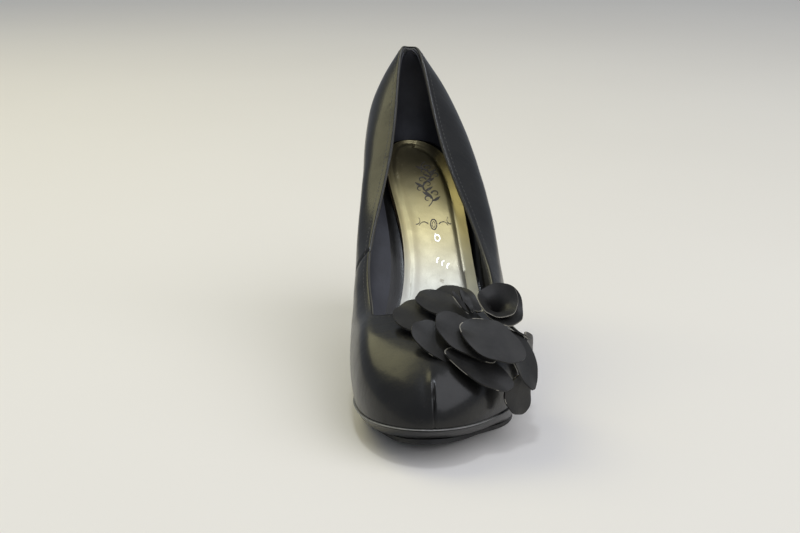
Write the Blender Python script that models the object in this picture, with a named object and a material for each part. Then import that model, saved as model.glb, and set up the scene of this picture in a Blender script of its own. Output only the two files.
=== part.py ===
"""High heel pump for the left foot: a platform court shoe with a leaf rosette on its lateral side.

Frame: +Z up, toe towards -Y, lateral side of the foot towards +X, origin on the ground under the
ball of the foot. The design is written in millimetres from the toe tip, y growing towards the heel,
and to_frame() turns it into the frame's metres.

Every layer of the shoe is an offset of two surfaces of the last: the upper surface, a ring that
rises from the feather line to the topline, and the bottom surface, which only bends lengthwise.
All layers sample the upper surface at the same places, so their facets stay parallel.
"""

import math

import bmesh
import bpy
import numpy as np
from mathutils import Vector

MM = 0.001
GAP = 0.3  # clearance between two solids that touch on the real shoe
BALL_Y = 62.0  # distance from the toe tip to the origin

# Driving thicknesses and heights
UPPER_THICK = 1.0
STIFFENER_THICK = 0.8
LINING_THICK = 0.6
BOARD_THICK = 1.8
FOAM_THICK = 1.5
SOCK_THICK = 0.6
SHANK_THICK = 0.8
RAND_THICK = 0.8
OUTSOLE_THICK = 2.0
WRAP_THICK = 0.8
HEEL_COVER_THICK = 0.7
TOP_PIECE_THICK = 5.0
LASTING_MARGIN = 7.0
FILLER_GAP = 1.5  # between the filler and the lasting margin
PETAL_THICK = 0.9
BASE_THICK = 1.0

# How far each layer lies inside the outer face of the upper
STIFFENER_IN = UPPER_THICK + GAP
LINING_IN = STIFFENER_IN + STIFFENER_THICK + GAP
# How far each layer of the bottom lies above the underside of the upper
BOARD_UP = UPPER_THICK + GAP
FOAM_UP = BOARD_UP + BOARD_THICK + GAP
SOCK_UP = FOAM_UP + FOAM_THICK + GAP
BOARD_INSET = LINING_IN + LINING_THICK + 0.4
SOCK_INSET = BOARD_INSET + 1.0
FOAM_INSET = SOCK_INSET + 1.5
# How far the platform lies below the underside of the upper, under the rand
PLATFORM_UP = -(GAP + RAND_THICK + GAP)
RAND_OUT = 0.9
RAND_IN = 4.0
WRAP_INSET = 0.3
TREAD_INSET = 0.8  # how far the tread's edge lies inside the feather line at the ball
TOE_UNDERCUT = 11.5  # and how much farther at the toe, where the platform curves under
CORE_UNDERCUT = 16.0  # the same for the core, whose side is straight behind the curved wrap
CORE_HEAD_INSET = 3.0
CORE_GAP = 0.45  # between the core's foot and the wrap, across the undercut
MEDIAL_UNDERCUT = (28.0, 64.0)  # the undercut runs out between these distances from the toe tip
LATERAL_UNDERCUT = (22.0, 52.0)
# The platform's side from top to tread, as (share of the height, share of the undercut)
WRAP_LEVELS = [(0.0, 0.0), (0.42, 0.15), (0.78, 0.5), (1.0, 1.0)]
WAIST_INSET = 3.7  # how much narrower than the ball the sole is at the waist

# Profiles of the last along its middle, (y, height) of the feather line above the ground
BOTTOM_PROFILE = [
    (-5, 20), (0, 19), (30, 14), (60, 11.5), (80, 12.5), (100, 20),
    (130, 43), (165, 72), (195, 87), (219, 94), (230, 96),
]
# The outsole: flat between these two, with toe spring in front and the arch behind
FLAT_FROM = 45.0
FLAT_TO = 85.0
TOE_SPRING = 11.5
ARCH_TO = 140.0
ARCH_SLOPE = 0.87

# The heel: the way from its seat to its tip, as (share of the height, share of the taper)
HEEL_LEVELS = [
    (0.0, 0.0), (0.06, 0.22), (0.15, 0.46), (0.28, 0.68),
    (0.45, 0.84), (0.65, 0.93), (0.85, 0.98), (1.0, 1.0),
]
HEEL_EDGE = 0.6  # how far the heel's seat lies inside the feather line
SEAT_CENTRE = (5.5, 190.0)
TIP_CENTRE = (3.0, 202.0)
TIP_SCALE = 0.26  # size of the heel tip next to the seat
DOWEL_RADIUS = 2.5
DOWEL_TOP = 58.0
PIN_RADIUS = 1.4
PIN_FOOT = 1.5
PIN_TOP = 20.0
SHANK_ENDS = ((10.0, 93.0), (5.5, 197.0))
SHANK_WIDTH = 11.0
SCREW_AT = (5.5, 190.0)
RIVETS_AT = ((9.5, 104.0), (7.5, 150.0))
NAILS_AT = ((-4.0, 180.0), (15.0, 180.0), (-1.5, 199.0), (10.0, 199.0))
# Fasteners: (radius, height) of the head and (radius, length) of the shaft
SCREW = ((3.0, 1.2), (1.5, 20.0))
NAIL = ((1.6, 0.8), (0.7, 10.0))
RIVET = ((1.8, 0.7), (0.9, 3.0))
CUT_OVER = 2.0  # how far a cutter stands out of the face that it opens

# Stations round the last, from the toe tip along the medial side to the back and home along the
# lateral side: feather line x, y; topline x, y, height; roundness of the wall from 0, straight, to 1,
# a toe cap that rises and turns over; bulge of the wall at mid height.
STATIONS = [
    ("toe", 1, 0, 5, 63, 49, 1.0, 1.0),
    ("medial_toe", -15.5, 4.5, -11, 64.5, 48.3, 0.95, 1.5),
    ("medial_toe_corner", -28.5, 21, -24, 64.5, 47.6, 0.85, 2.5),
    ("medial_joint", -34, 46, -26, 72, 48, 0.6, 3.5),
    ("medial_ball", -30, 74, -27, 91, 53, 0.30, 6.5),
    ("medial_waist", -16, 107, -26, 113, 66, 0.15, 11.5),
    ("medial_arch", -10, 141, -19, 140, 86, 0.05, 15.5),
    ("medial_seat", -16.5, 175, -11, 174, 115, 0.05, 13.0),
    ("medial_heel", -15, 205, -6.6, 208.5, 147.4, 0.03, 10.5),
    ("back", 0, 217, 0, 215, 151, 0.0, 7.0),
    ("lateral_heel", 18, 205, 7.6, 208, 146, 0.03, 11.5),
    ("lateral_seat", 27.5, 175, 14.5, 174, 111, 0.05, 14.0),
    ("lateral_arch", 31.5, 141, 25.5, 140, 82, 0.05, 12.5),
    ("lateral_waist", 36, 107, 33.5, 113, 62, 0.15, 8.0),
    ("lateral_ball", 41, 75, 35.5, 93, 52.5, 0.35, 5.0),
    ("lateral_joint", 41, 46, 33, 76, 48.5, 0.6, 3.5),
    ("lateral_toe_corner", 31.5, 25.5, 27, 66, 48, 0.85, 2.5),
    ("lateral_toe", 17, 7.5, 17, 62.5, 48.5, 0.95, 1.5),
]
# Heights up the wall where the stations' profiles are set, and the share of the bulge there
WALL_LEVELS = np.array([0.0, 0.22, 0.5, 0.78, 1.0])
BULGE_SHARE = np.array([0.0, 0.7, 1.0, 0.72, 0.0])

# The rosette: each petal's middle, the way its tip points, the way its face looks, its length and
# width, and how far its rim curls up
PETALS = [
    ("petal_01", (0.2, 47.5, 50.9), (-0.75, 0.64, 0.19), (-0.04, -0.34, 0.94), 37, 25, 1.0),
    ("petal_02", (3.8, 28.5, 47.2), (-0.70, 0.58, 0.42), (0.00, -0.50, 0.86), 30, 17, 1.0),
    ("petal_03", (20.6, 17.9, 39.2), (-0.82, 0.20, 0.51), (0.38, -0.55, 0.75), 33, 16, 1.0),
    ("petal_04", (15.3, 26.4, 50.8), (-0.75, 0.50, 0.43), (0.22, -0.56, 0.80), 33, 19, 1.0),
    ("petal_05", (26.6, 22.4, 50.6), (-0.85, 0.23, 0.48), (0.26, -0.61, 0.75), 31, 21, 1.0),
    ("petal_06", (9.6, 50.1, 55.9), (-0.82, 0.55, 0.20), (0.03, -0.38, 0.92), 35, 16, 1.0),
    ("petal_07", (15, 63.0, 56.4), (-0.80, 0.60, 0.12), (0.04, -0.25, 0.97), 26, 16, 1.0),
    ("petal_08", (16, 47.6, 59.6), (-0.50, 0.75, 0.45), (0.30, -0.50, 0.80), 17, 8, 1.5),
    ("petal_09", (38.5, 49, 46.5), (0.77, -0.24, -0.60), (0.64, 0.19, 0.75), 17, 16, 1.0),
    ("petal_10", (40.9, 31.2, 38.7), (-0.30, 0.50, 0.80), (0.75, -0.50, 0.43), 28, 20, 1.0),
    ("petal_11", (48, 54, 29), (0.05, 0.30, -0.95), (0.97, -0.20, 0.05), 28, 19, 1.0),
    ("petal_12", (39.0, 24.0, 24.2), (-0.25, -0.40, -0.88), (0.75, -0.60, 0.20), 17, 19, 1.0),
    ("bud_petal_1", (30.3, 44.2, 58.9), (-0.48, -0.82, -0.31), (0.14, -0.52, 0.84), 20, 19, 2.5),
    ("bud_petal_2", (32.5, 46, 55.5), (-0.26, -0.88, -0.40), (0.28, -0.50, 0.82), 24, 22.5, 2.5),
]

# Facets: every layer uses these places round the last and up the wall
AROUND = 60
UP_WALL = np.array([0.0, 0.07, 0.2, 0.34, 0.48, 0.62, 0.75, 0.86, 0.94, 1.0])
BASE_FACETS = (-10, -5)
BASE_LEVELS = np.array([0.48, 0.62, 0.75, 0.86])
CROWDING = 0.45  # how much closer together the facets are at the toe and the back
SEAM_TRIM = 0.0008  # share of the ring left free at each end of a piece, where it meets its neighbour
PLATFORM_END = 17  # the facet round the last where the platform has thinned to nothing
MEDIAL_SEAM = 16  # the facet where the vamp meets the medial quarter
LATERAL_SEAM = -13  # and the lateral quarter, under the rosette
WAIST_FACETS = (13, 17)  # the facets between which the sole narrows to the waist
BREAST_FACET = 20  # the facet where the outsole ends and the heel begins
PUFF_FACETS = (-11, 11)
FILLER_END = 14
HEEL_FACET = 30  # the facet of the back seam


# ---------------------------------------------------------------- curves

def spline(knots, values, where):
    """Natural cubic spline through values at knots, read at where."""
    t = np.asarray(knots, float)
    p = np.asarray(values, float).reshape(len(t), -1)
    h = np.diff(t)
    system, right = np.eye(len(t)), np.zeros(p.shape)
    for i in range(1, len(t) - 1):
        system[i, i - 1:i + 2] = h[i - 1], 2 * (h[i - 1] + h[i]), h[i]
        right[i] = 6 * ((p[i + 1] - p[i]) / h[i] - (p[i] - p[i - 1]) / h[i - 1])
    bend = np.linalg.solve(system, right)
    q = np.atleast_1d(np.asarray(where, float))
    i = np.clip(np.searchsorted(t, q) - 1, 0, len(t) - 2)
    a, b, span = (t[i + 1] - q)[:, None], (q - t[i])[:, None], h[i][:, None]
    cubic = (bend[i] * a ** 3 + bend[i + 1] * b ** 3) / (6 * span)
    return cubic + (p[i] / span - bend[i] * span / 6) * a + (p[i + 1] / span - bend[i + 1] * span / 6) * b


def ring_spline(values, where):
    """Closed cubic spline through evenly spaced values; where runs from 0 to 1 round the ring."""
    p = np.asarray(values, float)
    count = len(p)
    system = 4 * np.eye(count) + np.roll(np.eye(count), 1, 0) + np.roll(np.eye(count), -1, 0)
    right = 6 * (np.roll(p, -1, 0) - 2 * p + np.roll(p, 1, 0))
    bend = np.linalg.solve(system, right.reshape(count, -1)).reshape(p.shape)
    q = np.atleast_1d(np.asarray(where, float)) * count
    i = np.floor(q).astype(int) % count
    j = (i + 1) % count
    b = (q - np.floor(q))[:, None]
    a = 1 - b
    return (bend[i] * a ** 3 + bend[j] * b ** 3) / 6 + (p[i] - bend[i] / 6) * a + (p[j] - bend[j] / 6) * b


# ---------------------------------------------------------------- the last

def bottom_height(y):
    return spline(*zip(*BOTTOM_PROFILE), y)[:, 0]


def sole_height(y):
    """Height of the outsole's underside: toe spring, a flat tread, then up into the arch."""
    y = np.atleast_1d(np.asarray(y, float))
    spring = TOE_SPRING * (np.clip(FLAT_FROM - y, 0, None) / FLAT_FROM) ** 2
    below = (OUTSOLE_THICK + 2 * GAP) * math.hypot(1, ARCH_SLOPE)
    rise = bottom_height(ARCH_TO)[0] - below
    t = np.clip((y - FLAT_TO) / (ARCH_TO - FLAT_TO), 0, 1)
    arch = rise * (3 * t ** 2 - 2 * t ** 3) + ARCH_SLOPE * (ARCH_TO - FLAT_TO) * (t ** 3 - t ** 2)
    behind = bottom_height(np.maximum(y, ARCH_TO)) - bottom_height(ARCH_TO)[0]
    return spring + arch + behind


def raised(height, x, y, lift):
    """Points over the plan point (x, y), lift away from the surface that height() describes."""
    x, y = np.broadcast_arrays(np.asarray(x, float), np.asarray(y, float))
    flat_y = y.ravel()
    step = 0.5
    slope = (height(flat_y + step) - height(flat_y - step)) / (2 * step)
    length = np.sqrt(1 + slope ** 2)
    lift = np.broadcast_to(lift, y.shape).ravel()
    z = height(flat_y) + lift / length
    return np.stack([x.ravel(), flat_y - slope / length * lift, z], -1).reshape(y.shape + (3,))


def feather(s, inset=0.0):
    """Plan points (x, y) of the feather line at s round the last, drawn in by inset."""
    line = np.array([station[1:3] for station in STATIONS], float)
    step = 1e-4
    along = ring_spline(line, np.asarray(s) + step) - ring_spline(line, np.asarray(s) - step)
    inward = np.stack([along[:, 1], -along[:, 0]], -1)
    inward /= np.linalg.norm(inward, axis=1)[:, None]
    return ring_spline(line, s) + inward * np.reshape(inset, (-1, 1))


def undercut_inset(s, undercut):
    """How far an edge of the platform's foot lies inside the feather line: most at the toe."""
    y = feather(s)[:, 1]
    medial = np.mod(s, 1) < 0.5
    start = np.where(medial, MEDIAL_UNDERCUT[0], LATERAL_UNDERCUT[0])
    end = np.where(medial, MEDIAL_UNDERCUT[1], LATERAL_UNDERCUT[1])
    t = np.clip((y - start) / (end - start), 0, 1)
    return TREAD_INSET + undercut * (1 - t * t * (3 - 2 * t))


def wall_net():
    """Points of the upper's outer face at each wall level and station."""
    line = np.array([station[1:3] for station in STATIONS], float)
    foot = raised(bottom_height, line[:, 0], line[:, 1], 0.0)
    top = np.array([station[3:6] for station in STATIONS], float)
    roundness = np.array([station[6] for station in STATIONS])[:, None]
    bulge = np.array([station[7] for station in STATIONS])[:, None]
    around = np.roll(line, -1, 0) - np.roll(line, 1, 0)
    outward = np.stack([-around[:, 1], around[:, 0]], -1)
    outward /= np.linalg.norm(outward, axis=1)[:, None]
    levels = []
    for level, share in zip(WALL_LEVELS, BULGE_SHARE):
        turn = level * math.pi / 2
        over = (1 - roundness) * level + roundness * (1 - math.cos(turn))
        rise = (1 - roundness) * level + roundness * math.sin(turn)
        plan = foot[:, :2] + (top[:, :2] - foot[:, :2]) * over + outward * bulge * share
        height = foot[:, 2:] + (top[:, 2:] - foot[:, 2:]) * rise
        levels.append(np.hstack([plan, height]))
    return np.array(levels)


WALL_NET = wall_net()


def wall(s, k):
    """Outer face of the upper: array [k, s, 3]."""
    rings = np.array([ring_spline(level, s) for level in WALL_NET])
    rings[0, :, 2] = bottom_height(rings[0, :, 1])
    return spline(WALL_LEVELS, rings.reshape(len(WALL_LEVELS), -1), k).reshape(len(k), -1, 3)


def wall_normals(s, k):
    """Outward unit normals of the wall."""
    step = 1e-4
    around = wall(s + step, k) - wall(s - step, k)
    low, high = np.clip(k - step, 0, 1), np.clip(k + step, 0, 1)
    up = wall(s, high) - wall(s, low)
    normal = np.cross(up, around)
    return normal / np.linalg.norm(normal, axis=-1, keepdims=True)


def petal_points(middle, tip_way, face_way, length, width, curl, rings=2, around=14):
    """A petal's upper face: its middle, then rings of points out to the rim, whose edge curls up."""
    middle, along, up = (np.array(v, float) for v in (middle, tip_way, face_way))
    up -= along * (up @ along) / (along @ along)
    along, up = along / np.linalg.norm(along), up / np.linalg.norm(up)
    side = np.cross(up, along)
    points = [middle]
    for ring in range(1, rings + 1):
        share = ring / rings
        for turn in np.arange(around) / around * 2 * math.pi:
            # the root end is drawn in, which makes the oval an egg with its wide end at the tip
            spread = width / 2 * (0.92 + 0.08 * math.cos(turn))
            flat = along * length / 2 * math.cos(turn) + side * spread * math.sin(turn)
            points.append(middle + flat * share + up * curl * share ** 2)
    return np.array(points)


# ---------------------------------------------------------------- making objects

def to_frame(point):
    return Vector((point[0] * MM, (point[1] - BALL_Y) * MM, point[2] * MM))


def finish(name, colour, roughness, metallic=0.0):
    made = bpy.data.materials.new(name)
    made.use_nodes = True
    shader = made.node_tree.nodes["Principled BSDF"]
    shader.inputs["Base Color"].default_value = (*colour, 1.0)
    shader.inputs["Roughness"].default_value = roughness
    shader.inputs["Metallic"].default_value = metallic
    return made


def add(name, points, faces, material, thickness=0.0):
    """An object from points in the last's millimetres; thickness is laid behind the faces."""
    mesh = bpy.data.meshes.new(name)
    mesh.from_pydata([to_frame(p) for p in np.reshape(points, (-1, 3))], [], faces)
    mesh.materials.append(material)
    mesh.shade_smooth()
    mesh.set_sharp_from_angle(angle=math.radians(40))
    made = bpy.data.objects.new(name, mesh)
    bpy.context.scene.collection.objects.link(made)
    if thickness:
        solid = made.modifiers.new("thickness", "SOLIDIFY")
        solid.thickness = thickness * MM
        solid.offset = -1
        solid.use_even_offset = True
    return made


def quads(rows, columns, ring=False):
    """Faces of a grid of rows by columns, facing rows-cross-columns."""
    faces = []
    for row in range(rows - 1):
        for column in range(columns if ring else columns - 1):
            a, b = row * columns + column, row * columns + (column + 1) % columns
            faces.append((a, a + columns, b + columns, b))
    return faces


def facet_ends(first, last):
    """Places round the last at each facet from first to last; negative facets are lateral."""
    turn = np.arange(first, last + 1) / AROUND
    s = turn - CROWDING * np.sin(4 * math.pi * turn) / (4 * math.pi)
    s[0] += SEAM_TRIM
    s[-1] -= SEAM_TRIM
    return s


def shell(name, outer, inner, material):
    """A sheet with a wall: outer and inner are grids [row, column, 3], rows going up."""
    rows, columns = outer.shape[:2]
    size = rows * columns
    sheet = quads(rows, columns)
    faces = sheet + [tuple(size + i for i in reversed(face)) for face in sheet]
    rim = [row * columns for row in range(rows)]
    rim += [(rows - 1) * columns + column for column in range(1, columns)]
    rim += [row * columns + columns - 1 for row in range(rows - 2, -1, -1)]
    rim += list(range(columns - 2, 0, -1))
    for a, b in zip(rim, rim[1:] + rim[:1]):
        faces.append((b, a, size + a, size + b))
    return add(name, np.concatenate([outer, inner]), faces, material)


def wall_shell(name, first, last, levels, inset, thickness, material):
    """A layer of the upper between two facets round the last, inset from its outer face."""
    s = facet_ends(first, last)
    points, normals = wall(s, levels), wall_normals(s, levels)
    return shell(name, points - normals * inset, points - normals * (inset + thickness), material)


def upper_piece(name, first, last, material):
    """Outer leather, with the lasting margin that turns in under the insole board."""
    s = facet_ends(first, last)
    points, normals = wall(s, UP_WALL), wall_normals(s, UP_WALL)
    outer, inner = [], []
    for share in (1.0, 0.5):
        plan = feather(s, LASTING_MARGIN * share)
        outer.append(raised(bottom_height, plan[:, 0], plan[:, 1], 0.0))
        inner.append(raised(bottom_height, plan[:, 0], plan[:, 1], UPPER_THICK))
    fold = feather(s, UPPER_THICK)
    outer += list(points)
    inner.append(raised(bottom_height, fold[:, 0], fold[:, 1], UPPER_THICK))
    inner += list((points - normals * UPPER_THICK)[1:])
    return shell(name, np.array(outer), np.array(inner), material)


def wrap_sides(s):
    """The platform's covered side: grids of its outer and inner face, tread edge first."""
    rows = []
    for down, under in WRAP_LEVELS[::-1]:
        plan = feather(s, WRAP_INSET + (undercut_inset(s, TOE_UNDERCUT) - WRAP_INSET) * under)
        high = raised(bottom_height, plan[:, 0], plan[:, 1], PLATFORM_UP)
        low = raised(sole_height, plan[:, 0], plan[:, 1], OUTSOLE_THICK + GAP)
        rows.append(high + (low - high) * down)
    outer = np.array(rows)
    normal = np.cross(np.gradient(outer, axis=0), np.gradient(outer, axis=1))
    normal /= np.linalg.norm(normal, axis=-1, keepdims=True)
    inner = outer - normal * WRAP_THICK
    plan = feather(s, WRAP_INSET + WRAP_THICK)
    inner[-1] = raised(bottom_height, plan[:, 0], plan[:, 1], PLATFORM_UP)
    return outer, inner


def strips(first, last, inset, undercut=None):
    """Pairs of plan points, medial and lateral, on each cross line of the bottom or the tread."""
    s = facet_ends(first, last)
    inset = np.broadcast_to(inset, s.shape)
    if undercut is None:
        return feather(s, inset), feather(-s, inset)
    return tuple(feather(side, inset + undercut_inset(side, undercut)) for side in (s, -s))


def across(medial, lateral, columns):
    """Cross lines from medial to lateral, as plan coordinates x and y [row, column]."""
    share = np.linspace(0, 1, columns)[None, :]
    x = medial[:, :1] * (1 - share) + lateral[:, :1] * share
    y = medial[:, 1:] * (1 - share) + lateral[:, 1:] * share
    return x, y


def plate_faces(rows, columns, nose, tail, first=0):
    """Upward faces of cross lines; a nose or tail point closes an end in a fan."""
    faces = [tuple(first + i for i in (f[0], f[3], f[2], f[1])) for f in quads(rows, columns)]
    last = first + (rows - 1) * columns
    for column in range(columns - 1):
        if nose is not None:
            faces.append((nose, first + column + 1, first + column))
        if tail is not None:
            faces.append((tail, last + column, last + column + 1))
    return faces


def plate(name, inset, lift, thickness, material, columns=3, first=0, last=HEEL_FACET):
    """A layer of the bottom: its underside is lift above the bottom surface of the last."""
    nose, tail = first == 0, last == HEEL_FACET
    medial, lateral = strips(first + nose, last - tail, inset)
    x, y = across(medial, lateral, columns)
    top = raised(bottom_height, x, y, lift + thickness).reshape(-1, 3)
    ends = []
    for place, wanted in ((0.0, nose), (0.5, tail)):
        if wanted:
            tip = feather(np.array([place]), inset)
            ends.append(raised(bottom_height, tip[:, 0], tip[:, 1], lift + thickness)[0])
    count = len(top)
    faces = plate_faces(len(x), columns, count if nose else None, count + nose if tail else None)
    return add(name, np.vstack([top] + [e[None] for e in ends]), faces, material, thickness)


def block(name, upper_rows, lower_rows, material, nose=None):
    """A solid between two grids of cross lines [row, column, 3]; nose is its pair of front tips."""
    rows, columns = upper_rows.shape[:2]
    size = rows * columns
    points = [*upper_rows.reshape(-1, 3), *lower_rows.reshape(-1, 3)]
    top_nose = bottom_nose = None
    if nose is not None:
        points += list(nose)
        top_nose, bottom_nose = 2 * size, 2 * size + 1
    faces = plate_faces(rows, columns, top_nose, None)
    faces += [f[::-1] for f in plate_faces(rows, columns, bottom_nose, None, size)]
    for row in range(rows - 1):
        near, far = row * columns, (row + 1) * columns
        faces.append((near, far, far + size, near + size))
        near, far = near + columns - 1, far + columns - 1
        faces.append((far, near, near + size, far + size))
    for column in range(columns - 1):
        a = (rows - 1) * columns + column
        faces.append((a, a + 1, a + 1 + size, a + size))
        if nose is None:
            faces.append((column + 1, column, column + size, column + 1 + size))
    if nose is not None:
        faces.append((0, size, bottom_nose, top_nose))
        faces.append((top_nose, bottom_nose, size + columns - 1, columns - 1))
    return add(name, points, faces, material)


def turned(name, profile, foot, axis, material, segments=12):
    """A round piece: profile of (radius, height) spun about axis through foot, bottom to top."""
    shape = bmesh.new()
    points = [shape.verts.new((radius * MM, 0, height * MM)) for radius, height in profile]
    closed_profile = profile[0][0] > 0
    pairs = list(zip(points, points[1:])) + ([(points[-1], points[0])] if closed_profile else [])
    edges = [shape.edges.new(pair) for pair in pairs]
    bmesh.ops.spin(
        shape, geom=points + edges, cent=(0, 0, 0), axis=(0, 0, 1),
        angle=2 * math.pi, steps=segments, use_merge=True,
    )
    bmesh.ops.remove_doubles(shape, verts=shape.verts, dist=1e-6)
    bmesh.ops.recalc_face_normals(shape, faces=shape.faces)
    mesh = bpy.data.meshes.new(name)
    shape.to_mesh(mesh)
    shape.free()
    mesh.materials.append(material)
    mesh.shade_smooth()
    mesh.set_sharp_from_angle(angle=math.radians(35))
    made = bpy.data.objects.new(name, mesh)
    made.location = to_frame(foot)
    made.rotation_euler = Vector(axis).to_track_quat("Z", "Y").to_euler()
    bpy.context.scene.collection.objects.link(made)
    return made


def cut(body, cutter):
    """Takes the cutter's shape out of body; the cutter stays as a hidden helper."""
    cutter.hide_render = True
    cutter.display_type = "WIRE"
    hole = body.modifiers.new("hole", "BOOLEAN")
    hole.operation = "DIFFERENCE"
    hole.object = cutter


def loft(name, rings, material, lining=None):
    """Rings, bottom to top and clockwise from above, joined: a solid, or a tube round lining rings."""
    rings = np.array(rings)
    levels, count = rings.shape[:2]
    top = (levels - 1) * count
    points = list(rings.reshape(-1, 3))
    faces = quads(levels, count, ring=True)
    if lining is None:
        points += [rings[0].mean(0), rings[-1].mean(0)]
    else:
        size = levels * count
        points += list(np.reshape(lining, (-1, 3)))
        faces += [tuple(size + i for i in reversed(face)) for face in quads(levels, count, ring=True)]
    for i in range(count):
        j = (i + 1) % count
        if lining is None:
            faces.append((levels * count, i, j))
            faces.append((levels * count + 1, top + j, top + i))
        else:
            faces.append((i, j, size + j, size + i))
            faces.append((top + j, top + i, size + top + i, size + top + j))
    return add(name, points, faces, material)


def drawn_in(ring, distance):
    """A plan ring, clockwise from above, with each of its sides moved in by distance."""
    def inward(start, end):
        side = end - start
        normal = np.stack([side[:, 1], -side[:, 0]], -1)
        return normal / np.linalg.norm(normal, axis=1)[:, None]

    mitre = inward(np.roll(ring, 1, 0), ring) + inward(ring, np.roll(ring, -1, 0))
    return ring + mitre * (2 * distance / (mitre ** 2).sum(1))[:, None]


# ---------------------------------------------------------------- the upper and its inside

def make_upper():
    leather = finish("black_leather", (0.022, 0.020, 0.018), 0.38)
    lining = finish("lining", (0.028, 0.029, 0.036), 0.55)
    stiffener = finish("stiffener", (0.52, 0.47, 0.38), 0.85)
    tape = finish("tape", (0.10, 0.10, 0.10), 0.9)
    upper_piece("vamp", LATERAL_SEAM, MEDIAL_SEAM, leather)
    upper_piece("medial_quarter", MEDIAL_SEAM, HEEL_FACET, leather)
    upper_piece("lateral_quarter", HEEL_FACET, AROUND + LATERAL_SEAM, leather)
    above_margin = UP_WALL[1:]
    wall_shell("toe_puff", *PUFF_FACETS, UP_WALL[1:6], STIFFENER_IN, STIFFENER_THICK, stiffener)
    wall_shell(
        "heel_counter", BREAST_FACET, AROUND - BREAST_FACET, UP_WALL[1:7],
        STIFFENER_IN, STIFFENER_THICK, stiffener,
    )
    wall_shell("topline_tape", 1, 59, UP_WALL[-2:], STIFFENER_IN, STIFFENER_THICK, tape)
    wall_shell("vamp_lining", LATERAL_SEAM, MEDIAL_SEAM, above_margin, LINING_IN, LINING_THICK, lining)
    wall_shell(
        "quarter_lining", MEDIAL_SEAM, AROUND + LATERAL_SEAM, above_margin, LINING_IN, LINING_THICK, lining
    )


# ---------------------------------------------------------------- the bottom

def make_bottom():
    board = finish("insole_board", (0.30, 0.20, 0.12), 0.9)
    foam = finish("foam", (0.62, 0.58, 0.50), 0.95)
    gold = finish("gold_foil", (0.62, 0.50, 0.26), 0.35, 0.8)
    filler = finish("filler", (0.36, 0.25, 0.15), 0.95)
    sole = finish("outsole_rubber", (0.020, 0.020, 0.020), 0.6)
    platform = finish("platform_core", (0.20, 0.20, 0.20), 0.8)
    wrap = finish("platform_wrap", (0.022, 0.020, 0.018), 0.40)
    rand = finish("rand", (0.16, 0.155, 0.15), 0.45)

    insole = plate("insole_board", BOARD_INSET, BOARD_UP, BOARD_THICK, board)
    plate("sock_padding", FOAM_INSET, FOAM_UP, FOAM_THICK, foam)
    plate("sock", SOCK_INSET, SOCK_UP, SOCK_THICK, gold)
    plate(
        "bottom_filler", LASTING_MARGIN + FILLER_GAP, -RAND_THICK, UPPER_THICK + RAND_THICK,
        filler, last=FILLER_END,
    )

    s = facet_ends(-PLATFORM_END, PLATFORM_END)
    edges = []
    for inset in (RAND_IN, -RAND_OUT):
        plan = feather(s, inset)
        edges.append(raised(bottom_height, plan[:, 0], plan[:, 1], -GAP - RAND_THICK))
    add("rand", edges, quads(2, len(s)), rand, RAND_THICK)

    shell("platform_wrap", *wrap_sides(s), wrap)

    inside = WRAP_THICK + CORE_GAP
    head = across(*strips(1, PLATFORM_END, CORE_HEAD_INSET), 3)
    foot = across(*strips(1, PLATFORM_END, inside, CORE_UNDERCUT), 3)
    nose = np.array([0.0])
    head_nose = feather(nose, CORE_HEAD_INSET)
    foot_nose = feather(nose, undercut_inset(nose, CORE_UNDERCUT) + inside)
    block(
        "platform_core",
        raised(bottom_height, *head, PLATFORM_UP),
        raised(sole_height, *foot, OUTSOLE_THICK + GAP),
        platform,
        nose=(
            raised(bottom_height, head_nose[:, 0], head_nose[:, 1], PLATFORM_UP)[0],
            raised(sole_height, foot_nose[:, 0], foot_nose[:, 1], OUTSOLE_THICK + GAP)[0],
        ),
    )

    start, end = WAIST_FACETS
    narrowing = np.clip((np.arange(1, BREAST_FACET + 1) - start) / (end - start), 0, 1)
    x, y = across(*strips(1, BREAST_FACET, WAIST_INSET * narrowing, TOE_UNDERCUT), 5)
    nose = feather(nose, undercut_inset(nose, TOE_UNDERCUT))
    block(
        "outsole",
        raised(sole_height, x, y, OUTSOLE_THICK),
        raised(sole_height, x, y, 0.0),
        sole,
        nose=(
            raised(sole_height, nose[:, 0], nose[:, 1], OUTSOLE_THICK)[0],
            raised(sole_height, nose[:, 0], nose[:, 1], 0.0)[0],
        ),
    )
    return insole


def make_shank():
    steel = finish("steel", (0.55, 0.55, 0.56), 0.35, 1.0)
    (x0, y0), (x1, y1) = SHANK_ENDS
    y = np.linspace(y0, y1, 14)[:, None]
    x = x0 + (x1 - x0) * (y - y0) / (y1 - y0) + SHANK_WIDTH * np.array([[-0.5, 0.5]])
    y = np.repeat(y, 2, 1)
    shank = block(
        "shank", raised(bottom_height, x, y, SHANK_THICK), raised(bottom_height, x, y, 0.0), steel
    )
    return shank, steel


# ---------------------------------------------------------------- the heel

def heel_rings(inset, levels):
    """Rings of the heel from the tip up to the seat, inset from the outside of its cover."""
    s = facet_ends(BREAST_FACET, AROUND - BREAST_FACET)
    side = feather(s, HEEL_EDGE)
    breast = side[-1] + (side[0] - side[-1]) * np.array([0.25, 0.5, 0.75])[:, None]
    seat = np.vstack([side, breast])
    tip = np.array(TIP_CENTRE) + (seat - np.array(SEAT_CENTRE)) * TIP_SCALE
    rings = []
    for down, taper in levels[::-1]:
        plan = drawn_in(seat + (tip - seat) * taper, inset)
        top = raised(bottom_height, plan[:, 0], plan[:, 1], -2 * GAP)
        height = top[:, 2] + (TOP_PIECE_THICK + GAP - top[:, 2]) * down
        rings.append(np.column_stack([plan, height]))
    return rings


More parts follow.
